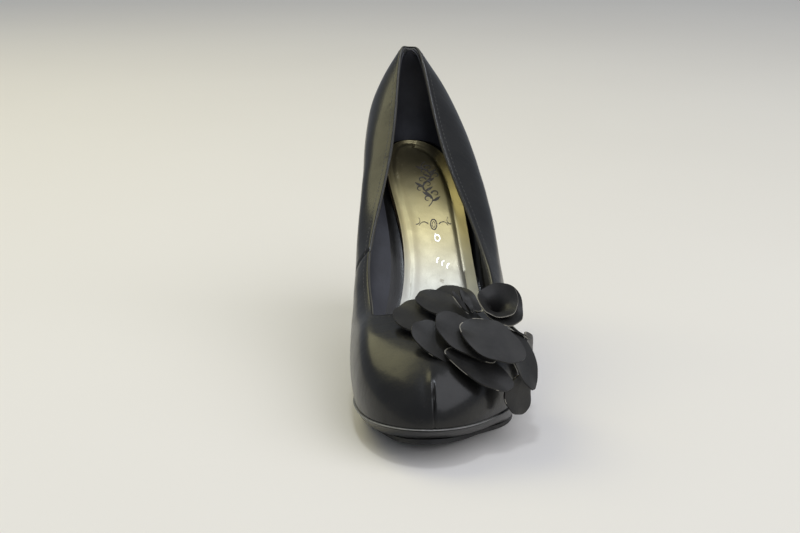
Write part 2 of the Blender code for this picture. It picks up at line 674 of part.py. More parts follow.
def make_heel():
    cover = finish("heel_cover", (0.022, 0.020, 0.018), 0.38)
    plastic = finish("heel_plastic", (0.45, 0.44, 0.42), 0.6)
    rubber = finish("top_piece", (0.018, 0.018, 0.018), 0.7)
    steel = finish("pin_steel", (0.55, 0.55, 0.56), 0.35, 1.0)
    x, y = TIP_CENTRE
    up = (0, 0, 1)

    loft("heel_cover", heel_rings(0.0, HEEL_LEVELS), cover, heel_rings(HEEL_COVER_THICK, HEEL_LEVELS))
    core = loft("heel_core", heel_rings(HEEL_COVER_THICK + 2 * GAP, HEEL_LEVELS), plastic)
    foot = TOP_PIECE_THICK + 2 * GAP
    inner, outer = PIN_RADIUS + GAP, DOWEL_RADIUS
    tube = [(inner, foot), (outer, foot), (outer, DOWEL_TOP), (inner, DOWEL_TOP)]
    turned("heel_dowel", tube, (x, y, 0), up, steel)
    bore = outer + GAP
    hole = [(0, 0), (bore, 0), (bore, DOWEL_TOP + GAP), (0, DOWEL_TOP + GAP)]
    cut(core, turned("dowel_cutter", hole, (x, y, 0), up, plastic))

    ring = heel_rings(0.0, HEEL_LEVELS)[0]
    base = ring * (1, 1, 0)
    lift = ring * (1, 1, 0) + (0, 0, TOP_PIECE_THICK)
    tip = loft("top_piece", [base, lift], rubber)
    pin = [(0, PIN_FOOT), (PIN_RADIUS, PIN_FOOT), (PIN_RADIUS, PIN_TOP), (0, PIN_TOP)]
    turned("top_piece_pin", pin, (x, y, 0), up, steel)
    hole = [
        (0, PIN_FOOT - GAP), (PIN_RADIUS + GAP, PIN_FOOT - GAP),
        (PIN_RADIUS + GAP, TOP_PIECE_THICK + CUT_OVER), (0, TOP_PIECE_THICK + CUT_OVER),
    ]
    cut(tip, turned("pin_cutter", hole, (x, y, 0), up, plastic))
    return core


def fastener(name, at, head, shaft, through, material):
    """A headed fastener sunk flush in the insole board, and its clearance hole in other pieces."""
    (head_radius, head_height), (radius, length) = head, shaft
    x, y = np.array([at[0]]), np.array([at[1]])
    top = raised(bottom_height, x, y, BOARD_UP + BOARD_THICK)[0]
    axis = top - raised(bottom_height, x, y, 0.0)[0]
    solid = [(0, -length), (radius, -length), (radius, -head_height), (head_radius, -head_height),
             (head_radius, 0), (0, 0)]
    turned(name, solid, top, axis, material, segments=10)
    room = [(0, -length - GAP), (radius + GAP, -length - GAP), (radius + GAP, -head_height - GAP),
            (head_radius + GAP, -head_height - GAP), (head_radius + GAP, CUT_OVER), (0, CUT_OVER)]
    cutter = turned(name + "_cutter", room, top, axis, material, segments=10)
    for body in through:
        cut(body, cutter)


# ---------------------------------------------------------------- the rosette

def make_rosette():
    leather = finish("petal_leather", (0.035, 0.033, 0.031), 0.45)
    wall_shell("rosette_base", *BASE_FACETS, BASE_LEVELS, -GAP - BASE_THICK, BASE_THICK, leather)
    for name, *shape in PETALS:
        points = petal_points(*shape)
        around = (len(points) - 1) // 2
        faces = []
        for i in range(around):
            j = (i + 1) % around
            faces.append((0, 1 + i, 1 + j))
            faces.append((1 + i, 1 + around + i, 1 + around + j, 1 + j))
        add(name, points, faces, leather, PETAL_THICK)


# ---------------------------------------------------------------- the shoe

def main():
    for old in list(bpy.data.objects):
        bpy.data.objects.remove(old, do_unlink=True)
    make_upper()
    board = make_bottom()
    shank, steel = make_shank()
    core = make_heel()
    make_rosette()
    fastener("heel_screw", SCREW_AT, *SCREW, (board, shank, core), steel)
    for number, at in enumerate(NAILS_AT, 1):
        fastener(f"heel_nail_{number}", at, *NAIL, (board, core), steel)
    for number, at in enumerate(RIVETS_AT, 1):
        fastener(f"shank_rivet_{number}", at, *RIVET, (board, shank), steel)


main()
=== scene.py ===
"""Looks of the high heel pump: leather, lining, foil sock, sole and rosette round the CAD frame.

Lengths are in metres, written as millimetres times MM. Those in plain millimetres say so.
Each piece starts as a merged copy of its CAD node or as a primitive. It is smoothed and bent,
gets its folds, seams and stitches, and then its thickness and finish.
"""

import math
import random

import bmesh
import bpy
from mathutils import Matrix, Vector, noise
from mathutils.bvhtree import BVHTree
from mathutils.geometry import intersect_point_line
from mathutils.kdtree import KDTree
import numpy as np


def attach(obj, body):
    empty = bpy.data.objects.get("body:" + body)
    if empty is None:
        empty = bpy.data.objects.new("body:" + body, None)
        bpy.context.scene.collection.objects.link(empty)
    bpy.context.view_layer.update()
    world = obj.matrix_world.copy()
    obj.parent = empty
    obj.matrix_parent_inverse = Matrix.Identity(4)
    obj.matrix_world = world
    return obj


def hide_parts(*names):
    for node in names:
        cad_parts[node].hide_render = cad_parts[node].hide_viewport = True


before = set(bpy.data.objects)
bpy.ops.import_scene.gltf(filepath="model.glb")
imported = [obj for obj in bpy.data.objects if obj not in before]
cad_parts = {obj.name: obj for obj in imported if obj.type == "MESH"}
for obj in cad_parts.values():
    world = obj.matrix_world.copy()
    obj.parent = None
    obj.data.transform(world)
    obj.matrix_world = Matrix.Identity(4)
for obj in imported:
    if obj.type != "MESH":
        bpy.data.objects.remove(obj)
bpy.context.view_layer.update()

MM = 0.001
UP = Vector((0, 0, 1))
# Points along the middle of the hollow that the foot fills, from the toes to the heel
FOOT_LINE = [Vector(p) for p in (
    (0.002, -0.040, 0.028), (0.002, 0.000, 0.030), (0.006, 0.040, 0.045),
    (0.009, 0.080, 0.072), (0.005, 0.118, 0.098), (0.004, 0.135, 0.108),
)]

MERGE_GAP = 0.01 * MM  # points of one CAD mesh this close are the same point
RIM_STRIP = 1.12 * MM  # faces with an edge shorter than this lie on the rim of a sheet
PART_GAP = 1.2 * MM  # open points of neighbouring parts this close are joined
SEAM_GAP = 1.7 * MM  # and so are those this close that face each other across a seam
SEAM_BOUND = 140 * MM  # above this height the back seam is bound together and doesn't sink
FACES_DOWN = -0.45  # a face whose normal's height is below this looks down
FLAT_TURN = math.radians(70)  # triangles that turn less than this become quads
SHARP_CREASE = 0.85  # how firmly a sharp edge holds when the piece is subdivided
SOFTENED_TURN = math.radians(50)  # edges that turn more than this are rounded off

UPPER_THICK = 0.8 * MM
LINING_THICK = 0.6 * MM
SOCK_THICK = 0.6 * MM
PETAL_THICK = 0.85 * MM


def clamp(value, low=0.0, high=1.0):
    return max(low, min(high, value))


def bell(distance, width):
    """1 at no distance, falling to almost nothing at twice the width."""
    return math.exp(-(distance / width) ** 2)


def onset(value, start, steepness):
    """0 well before start and 1 well after it, smooth between them."""
    return 1 / (1 + math.exp(-(value - start) * steepness))


# ---------------------------------------------------------------- finishes

class Value:
    """A socket of a finish's nodes; sums and products of values add Math nodes."""

    def __init__(self, finish, socket):
        self.finish, self.socket = finish, socket

    def maths(self, operation, *others):
        sockets = dict(enumerate((self, *others)))
        return self.finish.node("ShaderNodeMath", {"operation": operation}, sockets)

    def __add__(self, other):
        return self.maths("ADD", other)

    def __rsub__(self, other):
        return (self * -1) + other

    def __mul__(self, other):
        return self.maths("MULTIPLY", other)

    def between(self, low, high):
        """0 below low, 1 above high, smooth between them."""
        settings = {"interpolation_type": "SMOOTHSTEP"}
        sockets = {"Value": self, "From Min": low, "From Max": high}
        return self.finish.node("ShaderNodeMapRange", settings, sockets)


class Finish:
    """A material with a Principled shader; numbers that don't vary are set on its own sockets."""

    def __init__(self, name, **constants):
        self.material = bpy.data.materials.new(name)
        self.material.use_nodes = True
        self.tree = self.material.node_tree
        self.shader = self.tree.nodes["Principled BSDF"]
        for socket, number in constants.items():
            self.shader.inputs[socket.replace("_", " ")].default_value = number

    def node(self, kind, settings=None, sockets=None, out=0):
        made = self.tree.nodes.new(kind)
        for name, setting in (settings or {}).items():
            setattr(made, name, setting)
        for name, given in (sockets or {}).items():
            if isinstance(given, Value):
                self.tree.links.new(given.socket, made.inputs[name])
            else:
                made.inputs[name].default_value = given
        return Value(self, made.outputs[out])

    def place(self):
        return self.node("ShaderNodeTexCoord", out=3)

    def axis(self, out):
        """One of the place's coordinates: 0 across, 1 along, 2 up."""
        return self.node("ShaderNodeSeparateXYZ", sockets={0: self.place()}, out=out)

    def cloud(self, size, detail=3.0, rough=0.55, place=None):
        """Soft noise whose lumps are about size metres across, from 0 to 1."""
        return self.node("ShaderNodeTexNoise", sockets={
            "Vector": place or self.place(), "Scale": 1 / size,
            "Detail": detail, "Roughness": rough,
        })

    def cells(self, size, feature="F1"):
        """Cells about size metres across, from 0 at their middles."""
        sockets = {"Vector": self.place(), "Scale": 1 / size}
        return self.node("ShaderNodeTexVoronoi", {"feature": feature}, sockets)

    def stretched(self, scale):
        """The place with its three ways stretched, to draw a noise out along one of them."""
        return self.node("ShaderNodeMapping", sockets={"Vector": self.place(), "Scale": scale})

    def mix(self, factor, first, second):
        colours = [c if isinstance(c, Value) else (*c, 1) for c in (first, second)]
        sockets = {0: factor, 6: colours[0], 7: colours[1]}
        return self.node("ShaderNodeMix", {"data_type": "RGBA"}, sockets, out=2)

    def mottled(self, lumps, dark, pale):
        """A colour that goes from dark to pale over the middle of a noise's range."""
        return self.mix(lumps.between(0.3, 0.7), dark, pale)

    def marked(self, name):
        """How much of a named mark, such as an edge, each point of the piece carries."""
        return self.node("ShaderNodeAttribute", {"attribute_name": name}, out=2)

    def bump(self, height, depth, strength, over=None):
        sockets = {"Height": height, "Distance": depth, "Strength": strength}
        if over:
            sockets["Normal"] = over
        return self.node("ShaderNodeBump", sockets=sockets)

    def wear(self, colour, roughness, metallic=None, normal=None, coat=None):
        """Joins the values that vary to the shader and gives the finished material."""
        for name, given in (
            ("Base Color", colour), ("Roughness", roughness), ("Metallic", metallic),
            ("Normal", normal), ("Coat Weight", coat),
        ):
            if given is not None:
                self.tree.links.new(given.socket, self.shader.inputs[name])
        return self.material


def leather_finish(name, dark, pale, sheen_low, sheen_high):
    """Coated black leather: fine pebbled grain, soft creases, and the folded topline edge painted
    paler as a highlight.
    """
    made = Finish(name, Specular_IOR_Level=0.24, Coat_Roughness=0.16)
    broad = made.cloud(22 * MM, 4)
    # The folded topline edge's mark: a painted highlight where the edge catches the light
    wear_and_highlight = made.marked("edge").between(0.15, 1.0)
    scuffs = made.cloud(6 * MM, 6, 0.7).between(0.56, 0.74)
    colour = made.mottled(broad, dark, pale)
    # Painted highlight: the folded edge is mixed towards a pale grey
    colour = made.mix(wear_and_highlight * 0.6, colour, (0.115, 0.11, 0.095))
    colour = made.mix(scuffs * 0.12, colour, (0.08, 0.076, 0.068))
    pebble = made.cells(0.75 * MM, "SMOOTH_F1")
    fine = made.cloud(0.35 * MM, 3)
    crease = made.cloud(9 * MM, 5, 0.6, made.stretched((1.0, 1.6, 1.0)))
    relief = made.bump(pebble * 0.6 + fine * 0.5, 0.06 * MM, 0.55)
    relief = made.bump(crease, 0.5 * MM, 0.35, relief)
    sheen = made.cloud(14 * MM, 5, 0.6) * (sheen_high - sheen_low) + sheen_low
    sheen = sheen + scuffs * 0.12
    return made.wear(colour, sheen + fine * 0.06, normal=relief, coat=0.3 - scuffs * 0.25)


def cut_leather_finish(name, dark, pale):
    """Thin leather of the petals: matter than the upper, with fawn fibres where it was cut."""
    made = Finish(name, Specular_IOR_Level=0.3)
    raw = made.marked("raw").between(0.35, 0.75)
    broad = made.cloud(9 * MM, 4)
    fibres = made.cloud(0.5 * MM, 4, 0.7)
    fawn = made.mottled(fibres, (0.17, 0.16, 0.14), (0.36, 0.34, 0.29))
    colour = made.mix(raw, made.mottled(broad, dark, pale), fawn)
    pebble = made.cells(0.7 * MM, "SMOOTH_F1")
    relief = made.bump(pebble * 0.6 + fibres * 0.5, 0.06 * MM, 0.6)
    relief = made.bump(made.cloud(5 * MM, 4), 0.3 * MM, 0.4, relief)
    sheen = made.cloud(7 * MM, 4) * 0.22 + 0.32 + raw * 0.35
    return made.wear(colour, sheen, normal=relief)


def lining_finish():
    """Smooth blue-black lining with a fine grain."""
    made = Finish("smooth_lining", Specular_IOR_Level=0.4)
    broad = made.cloud(18 * MM, 4)
    colour = made.mottled(broad, (0.024, 0.0245, 0.030), (0.040, 0.041, 0.050))
    grain = made.cells(0.5 * MM, "SMOOTH_F1") + made.cloud(0.3 * MM, 2)
    relief = made.bump(grain, 0.03 * MM, 0.5)
    relief = made.bump(made.cloud(12 * MM, 3), 0.6 * MM, 0.3, relief)
    return made.wear(colour, broad * 0.2 + 0.38, normal=relief)


def foil_finish():
    """Metallic foil: gold in the middle, painted silvery towards the throat as a reflection, painted
    darker towards the heel as shade.
    """
    made = Finish("gold_foil_sock", Specular_IOR_Level=0.6)
    along = made.axis(1)
    # Painted reflection: the foil turns pale silver towards the open throat
    throat_reflection_share = 1 - along.between(52 * MM, 90 * MM)
    # Painted shade: the foil darkens deep in the heel
    heel_shade_share = along.between(96 * MM, 130 * MM)
    colour = made.mix(throat_reflection_share, (0.43, 0.37, 0.19), (0.42, 0.415, 0.37))
    colour = made.mix(heel_shade_share, colour, (0.17, 0.145, 0.08))
    wear_and_highlight = made.cloud(5 * MM, 6, 0.65).between(0.58, 0.72)
    wear_and_highlight = wear_and_highlight * made.cloud(25 * MM, 2).between(0.45, 0.6)
    colour = made.mix(wear_and_highlight * 0.5, colour, (0.45, 0.40, 0.28))
    grain = made.cells(0.45 * MM, "SMOOTH_F1") + made.cloud(0.9 * MM, 3)
    relief = made.bump(grain, 0.03 * MM, 0.6)
    folds = made.cloud(7 * MM, 4, 0.5, made.stretched((1.0, 0.45, 1.0)))
    relief = made.bump(folds, 0.5 * MM, 0.35, relief)
    sheen = made.cloud(9 * MM, 4) * 0.2 + 0.32 + wear_and_highlight * 0.2
    return made.wear(colour, sheen, 0.92 - wear_and_highlight * 0.45, relief)


def print_finish(name, colour, roughness, metallic=0.0):
    """A thin printed film, rubbed duller in places."""
    made = Finish(name)
    wear_and_highlight = made.cloud(1.2 * MM, 5, 0.7).between(0.45, 0.75)
    shade = made.mix(wear_and_highlight, colour, tuple(c * 0.6 + 0.12 for c in colour))
    return made.wear(shade, wear_and_highlight * 0.2 + roughness, wear_and_highlight * -0.3 * metallic + metallic)


def matte_finish(name, dark, pale, size, low, high, depth=0.05 * MM):
    """A plain material whose colour, roughness (low to high) and relief follow one soft noise."""
    made = Finish(name)
    lumps = made.cloud(size, 6, 0.65)
    fine = made.cloud(size * 0.25, 3)
    roughness = lumps * (high - low) + low
    relief = made.bump(fine + lumps, depth, 0.6)
    return made.wear(made.mottled(lumps, dark, pale), roughness, normal=relief)


def brushed_finish(name, colour):
    """Steel with fine drawn lines."""
    made = Finish(name, Metallic=1.0)
    lines = made.cloud(0.6 * MM, 3, 0.5, made.stretched((1.0, 0.05, 0.05)))
    shade = made.mix(lines, tuple(c * 0.8 for c in colour), colour)
    return made.wear(shade, lines * 0.2 + 0.25, normal=made.bump(lines, 0.02 * MM, 0.4))


def woven_finish(name, dark, pale, thread):
    """Tape woven from threads of that width."""
    made = Finish(name)
    waves = []
    for direction in ("X", "Y"):
        sockets = {"Vector": made.place(), "Scale": 0.3 / thread}
        waves.append(made.node("ShaderNodeTexWave", {"bands_direction": direction}, sockets))
    weave = waves[0] * waves[1]
    relief = made.bump(weave, 0.1 * MM, 0.7)
    return made.wear(made.mix(weave, dark, pale), weave * 0.1 + 0.8, normal=relief)


def foam_finish():
    """Open latex foam."""
    made = Finish("latex_foam")
    pores = made.cells(0.9 * MM)
    colour = made.mix(pores, (0.42, 0.37, 0.28), (0.66, 0.61, 0.50))
    return made.wear(colour, pores * 0.1 + 0.85, normal=made.bump(pores, 0.25 * MM, 0.8))


def tread_finish():
    """Moulded sole rubber: fine bead texture, greyer where it was walked on."""
    made = Finish("sole_rubber")
    underneath = 1 - made.axis(2).between(0.8 * MM, 4 * MM)
    worn = made.cloud(11 * MM, 6, 0.7).between(0.4, 0.7) * underneath
    colour = made.mix(worn * 0.7, (0.014, 0.014, 0.014), (0.085, 0.080, 0.072))
    beads = made.cells(1.1 * MM, "SMOOTH_F1")
    texture = beads * (1 - worn * 0.7) + made.cloud(0.4 * MM) * 0.4
    relief = made.bump(texture, 0.12 * MM, 0.6)
    return made.wear(colour, worn * 0.2 + 0.5, normal=relief)


# ---------------------------------------------------------------- working with meshes

def pick(piece):
    """Selects one piece and nothing else."""
    bpy.ops.object.select_all(action="DESELECT")
    piece.select_set(True)
    bpy.context.view_layer.objects.active = piece


def own(name, mesh):
    """A new object in the scene with that mesh."""
    piece = bpy.data.objects.new(name, mesh)
    bpy.context.scene.collection.objects.link(piece)
    return piece


def copied(node, name):
    """A new object with a CAD node's mesh, its loose triangles merged into quads."""
    piece = own(name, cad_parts[node].data.copy())
    piece.data.name = name
    piece.data.materials.clear()
    pick(piece)
    bpy.ops.mesh.customdata_custom_splitnormals_clear()
    bpy.ops.object.mode_set(mode="EDIT")
    bpy.ops.mesh.select_all(action="SELECT")
    bpy.ops.mesh.remove_doubles(threshold=MERGE_GAP)
    bpy.ops.mesh.tris_convert_to_quads(
        face_threshold=FLAT_TURN, shape_threshold=FLAT_TURN, topology_influence=1.5
    )
    bpy.ops.mesh.mark_sharp(clear=True)
    bpy.ops.object.mode_set(mode="OBJECT")
    return piece


def built(name, points, faces):
    """A new object from points and faces, with all its faces turned outwards."""
    mesh = bpy.data.meshes.new(name)
    mesh.from_pydata(points, [], faces)
    piece = own(name, mesh)
    pick(piece)
    bpy.ops.object.mode_set(mode="EDIT")
    bpy.ops.mesh.select_all(action="SELECT")
    bpy.ops.mesh.normals_make_consistent(inside=False)
    bpy.ops.object.mode_set(mode="OBJECT")
    return piece


def keep_faces(piece, wanted):
    """Deletes every face for which wanted(face) is false, with the loose points left behind."""
    mesh = piece.data
    chosen = [wanted(face) for face in mesh.polygons]
    shape = bmesh.new()
    shape.from_mesh(mesh)
    shape.faces.ensure_lookup_table()
    spare = [face for face, keep in zip(shape.faces, chosen) if not keep]
    bmesh.ops.delete(shape, geom=spare, context="FACES")
    shape.to_mesh(mesh)
    shape.free()


def modified(piece, kind, **settings):
    """Adds a modifier of that kind and applies it."""
    pick(piece)
    modifier = piece.modifiers.new(kind.lower(), kind)
    for name, setting in settings.items():
        setattr(modifier, name, setting)
    bpy.ops.object.modifier_apply(modifier=modifier.name)
    return piece


def smooth(piece, levels, sharp=None):
    """Subdivides; edges sharper than sharp degrees stay crisp."""
    if sharp is not None:
        shape = bmesh.new()
        shape.from_mesh(piece.data)
        layers = shape.edges.layers.float
        crease = layers.get("crease_edge") or layers.new("crease_edge")
        for edge in shape.edges:
            if len(edge.link_faces) == 2 and edge.calc_face_angle(0) > math.radians(sharp):
                edge[crease] = SHARP_CREASE
        shape.to_mesh(piece.data)
        shape.free()
    return modified(piece, "SUBSURF", levels=levels, render_levels=levels)


def thicken(piece, thickness):
    """Gives a skin its thickness, inwards from the face it has."""
    return modified(piece, "SOLIDIFY", thickness=thickness, offset=-1)


def soften(piece, width, segments):
    """Rounds off a moulded piece's edges."""
    return modified(piece, "BEVEL", width=width, segments=segments,
                    limit_method="ANGLE", angle_limit=SOFTENED_TURN)


def done(piece, material, slot, *nodes, angle=40):
    """The last step of a piece: its finish, its shading, its body and the nodes it stands for."""
    piece.data.materials.clear()
    piece.data.materials.append(material)
    pick(piece)
    bpy.ops.object.shade_smooth_by_angle(angle=math.radians(angle))
    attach(piece, "root")
    if nodes:
        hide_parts(*nodes)
    return piece


def mark(piece, name, amount):
    """Writes amount(point, normal) for every point as the piece's named mark."""
    marks = piece.data.attributes.new(name, "FLOAT", "POINT")
    marks.data.foreach_set("value", [amount(point, normal) for point, normal in surface(piece)])


def surface(piece):
    """Every point of a piece with its normal, read before anything moves."""
    return [(vertex.co.copy(), vertex.normal.copy()) for vertex in piece.data.vertices]


def swell(piece, amount):
    """Moves every point out along its normal by amount(point, normal)."""
    moved = []
    for point, normal in surface(piece):
        moved.extend(point + normal * amount(point, normal))
    piece.data.vertices.foreach_set("co", moved)
    piece.data.update()


def outwards(face):
    """The way from the foot's middle line to a face."""
    near = []
    for start, end in zip(FOOT_LINE, FOOT_LINE[1:]):
        point, share = intersect_point_line(face.center, start, end)
        near.append(start.lerp(end, clamp(share)))
    closest = min(near, key=lambda point: (point - face.center).length)
    return (face.center - closest).normalized()


def shortest_edge(mesh, face):
    corners = [mesh.vertices[i].co for i in face.vertices]
    return min((a - b).length for a, b in zip(corners, corners[1:] + corners[:1]))


def on_rim(mesh, face):
    """Whether a face of a sheet is part of the narrow strip round its rim."""
    return shortest_edge(mesh, face) < RIM_STRIP


def skin(nodes, name, side):
    """One side of a wrapped layer over several nodes: the outer side, 1, or the inner side, -1."""
    pieces = []
    for number, node in enumerate(nodes):
        piece = copied(node, f"{name}_{number}")
        mesh = piece.data

        def shows(face):
            return not on_rim(mesh, face) and face.normal.dot(outwards(face)) * side > 0.2

        keep_faces(piece, shows)
        part = mesh.attributes.new("part", "INT", "FACE")
        part.data.foreach_set("value", [number] * len(mesh.polygons))
        pieces.append(piece)
    bpy.ops.object.select_all(action="DESELECT")
    for piece in pieces:
        piece.select_set(True)
    bpy.context.view_layer.objects.active = pieces[0]
    bpy.ops.object.join()
    whole = pieces[0]
    whole.name = name
    pick(whole)
    bpy.ops.object.mode_set(mode="EDIT")
    bpy.ops.mesh.select_mode(type="VERT")
    bpy.ops.mesh.select_all(action="DESELECT")
    bpy.ops.mesh.select_non_manifold()
    bpy.ops.mesh.remove_doubles(threshold=PART_GAP)
    bpy.ops.object.mode_set(mode="OBJECT")
    close_seams(whole)
    return whole


def close_seams(piece):
    """Joins open points of two parts that still face each other across a seam, half way."""
    shape = bmesh.new()
    shape.from_mesh(piece.data)
    part = shape.faces.layers.int["part"]
    open_verts = [vert for vert in shape.verts if vert.is_boundary]
    parts = {vert: {face[part] for face in vert.link_faces} for vert in open_verts}
    joined = {}
    for vert in parts:
        near = [other for other in parts if not parts[vert] & parts[other] and other not in joined
                and (other.co - vert.co).length < SEAM_GAP]
        if near and vert not in joined.values():
            closest = min(near, key=lambda other: (other.co - vert.co).length)
            closest.co = (closest.co + vert.co) / 2
            joined[vert] = closest
    bmesh.ops.weld_verts(shape, targetmap=joined)
    shape.to_mesh(piece.data)
    shape.free()


def topline_edges(shape):
    """The open edges of a skin along the foot opening: those whose faces don't look down."""
    return [e for e in shape.edges if e.is_boundary and e.link_faces[0].normal.z > FACES_DOWN]


def edge_rise(vert, edge):
    """The way out of a skin at one end of an open edge, along the skin and square to the edge."""
    rise = vert.normal.cross(edge.verts[1].co - edge.verts[0].co).normalized()
    return rise if rise.dot(vert.co - edge.link_faces[0].calc_center_median()) > 0 else -rise


ARCH_FROM = 125 * MM  # the height above which the topline closes in to the narrow arch at the back
ARCH_MIDDLE = 0.5 * MM
ARCH_SPAN = 8 * MM  # how far to the side of the middle the fold is full again
ARCH_SHARE = 0.38  # how much of the full fold there is in the middle


def snugness(point):
    """How full the topline's fold is at a point: slighter in the narrow arch at the back."""
    if point.z < ARCH_FROM:
        return 1.0
    return clamp(abs(point.x - ARCH_MIDDLE) / ARCH_SPAN, ARCH_SHARE)


def roll_topline(piece, steps):
    """Folds a skin over at the topline; each step is (out, up) from the edge, in metres."""
    shape = bmesh.new()
    shape.from_mesh(piece.data)
    shape.normal_update()
    edges = topline_edges(shape)
    part = shape.faces.layers.int.get("part")
    # The fold's crown is marked so that the leather paints it paler as a highlight
    crown_highlight_mark = shape.verts.layers.float.new("edge")
    rises = {}
    for edge in edges:
        for vert in edge.verts:
            rises[vert] = rises.get(vert, Vector()) + edge_rise(vert, edge)
    lying = {vert: (vert.co.copy(), vert.normal.copy(), rise.normalized())
             for vert, rise in rises.items()}
    for number, (out, rise_by) in enumerate(steps):
        made = bmesh.ops.extrude_edge_only(shape, edges=edges)["geom"]
        edges = [g for g in made if isinstance(g, bmesh.types.BMEdge)]
        fresh = {}
        for vert in [g for g in made if isinstance(g, bmesh.types.BMVert)]:
            before = next(e.other_vert(vert) for e in vert.link_edges
                          if e.other_vert(vert) in lying)
            at, normal, rise = lying[before]
            vert.co = at + (normal * out + rise * rise_by) * snugness(at)
            vert[crown_highlight_mark] = 1.0 if number in (1, 2) else 0.0  # the crown of the fold is painted paler as a highlight
            fresh[vert] = lying[before]
        for face in [g for g in made if isinstance(g, bmesh.types.BMFace)]:
            beyond = [f for e in face.edges for f in e.link_faces if f not in made]
            if beyond:
                face[part] = beyond[0][part]
        lying = fresh
    bmesh.ops.recalc_face_normals(shape, faces=shape.faces)
    shape.to_mesh(piece.data)
    shape.free()


def split_parts(whole, names, sink):
    """Separates a skin into its parts and sinks their edges, so that seams read as seams."""
    made = []
    part = whole.data.attributes["part"]
    numbers = [item.value for item in part.data]
    shape = bmesh.new()
    shape.from_mesh(whole.data)
    shape.faces.ensure_lookup_table()
    seam = set()
    for edge in shape.edges:
        if len({numbers[face.index] for face in edge.link_faces}) > 1:
            seam.update(vert.index for vert in edge.verts)
    shape.free()
    moved = []
    for number, (point, normal) in enumerate(surface(whole)):
        sinks = number in seam and point.z <= SEAM_BOUND
        moved.extend(point - normal * sink if sinks else point)
    whole.data.vertices.foreach_set("co", moved)
    for number, name in enumerate(names):
        piece = own(name, whole.data.copy())
        keep_faces(piece, lambda face: numbers[face.index] == number)
        made.append(piece)
    bpy.data.objects.remove(whole)
    return made


# ---------------------------------------------------------------- the upper

# The toe tuck, on the front of the vamp: leather puckered up, with a groove down its middle
PLEAT_X = -0.3 * MM
PLEAT_BACK = -40 * MM
PLEAT_TOP = 38.5 * MM
PLEAT_FOOT = 17.0 * MM
# Height or depth, and half width, in millimetres
PUCKER_HEIGHT, PUCKER_WIDTH = 1.0, 2.1
GROOVE_DEPTH, GROOVE_WIDTH = 1.05, 0.55
GROOVE_SHIFT = 0.15  # how far the groove lies beside the pucker's middle


def toe_tuck(point, normal):
    """How far the toe's gathered tuck lifts the vamp at a point."""
    down = (PLEAT_TOP - point.z) / (PLEAT_TOP - PLEAT_FOOT)
    if point.y > PLEAT_BACK or not -0.4 < down < 1.2:
        return 0.0
    across = (point.x - PLEAT_X) / MM
    fade = max(0.0, 1 - 0.75 * max(0.0, down - 0.15))
    pucker = PUCKER_HEIGHT * bell(across, PUCKER_WIDTH) * onset(down, 0.02, 28) * fade
    groove = GROOVE_DEPTH * bell(across - GROOVE_SHIFT, GROOVE_WIDTH) * onset(down, 0.16, 26)
    return (pucker - groove * min(1.0, fade + 0.15)) * MM


def drape(piece, size, depth, seed):
    """Moves a skin's points in and out a little, as leather pulled over a last does."""
    shift = Vector((seed, seed * 2, seed * 3))
    swell(piece, lambda point, normal: noise.noise(point / size + shift) * depth)


UPPER_PARTS = ("vamp", "medial_quarter", "lateral_quarter")
LINING_PARTS = ("vamp_lining", "quarter_lining")
# The topline's fold, as (out, up) from the cut edge in millimetres
FOLD = ((-0.15, 0.75), (-0.75, 1.15), (-1.5, 1.15), (-2.1, 0.7), (-2.25, -0.4), (-2.3, -2.2))
STITCHED_BELOW = 1.8 * MM  # the stitching runs this far under the cut edge


def make_upper(leather):
    whole = skin(UPPER_PARTS, "upper_skin", 1)
    path = topline_path(whole, STITCHED_BELOW)
    roll_topline(whole, [(out * MM, up * MM) for out, up in FOLD])
    smooth(whole, 3, sharp=50)
    drape(whole, 16 * MM, 0.22 * MM, 3.0)
    swell(whole, toe_tuck)
    thread = matte_finish(
        "black_thread", (0.03, 0.03, 0.03), (0.06, 0.058, 0.055), 0.5 * MM, 0.5, 0.7)
    make_stitches("topline_stitching", path, whole, thread, "black_leather")
    names = [f"{part}_leather" for part in UPPER_PARTS]
    for piece, part in zip(split_parts(whole, names, 0.5 * MM), UPPER_PARTS):
        thicken(piece, UPPER_THICK)
        done(piece, leather, "black_leather", part)


def make_lining(cloth):
    whole = skin(LINING_PARTS, "lining_skin", -1)
    smooth(whole, 2, sharp=60)
    drape(whole, 20 * MM, 0.3 * MM, 8.0)
    names = [f"{part}_sheet" for part in LINING_PARTS]
    for piece, part in zip(split_parts(whole, names, 0.2 * MM), LINING_PARTS):
        thicken(piece, LINING_THICK)
        done(piece, cloth, "lining", part)


# ---------------------------------------------------------------- stitches

STITCH_LENGTH = 1.9 * MM
STITCH_GAP = 0.8 * MM
STITCH_SUNK = 0.02 * MM
STITCH_WIDE, STITCH_DEEP = 0.21 * MM, 0.16 * MM  # half of the thread's width and depth


def topline_path(whole, below):
    """Points in order along a skin's open topline, below it by that much, as a closed line."""
    shape = bmesh.new()
    shape.from_mesh(whole.data)
    shape.normal_update()
    edges = set(topline_edges(shape))
    # It starts at the lowest point and goes lateral, so the stitches fall in the same places each run
    vert = min((v for e in edges for v in e.verts), key=lambda v: (v.co.z, v.co.y, v.co.x))
    path = []
    while edges:
        ways = [e for e in vert.link_edges if e in edges]
        if not ways:
            break
        edge = max(ways, key=lambda e: e.other_vert(vert).co.x)
        edges.remove(edge)
        path.append(vert.co - edge_rise(vert, edge) * below)
        vert = edge.other_vert(vert)
    shape.free()
    return path


def evenly(path, spacing):
    """Points spacing apart round a closed line through path, each with the way it runs there."""
    made, left = [], 0.0
    for start, end in zip(path, path[1:] + path[:1]):
        length = (end - start).length
        at = left
        while at < length:
            made.append((start.lerp(end, at / length), (end - start) / length))
            at += spacing
        left = at - length
    return made


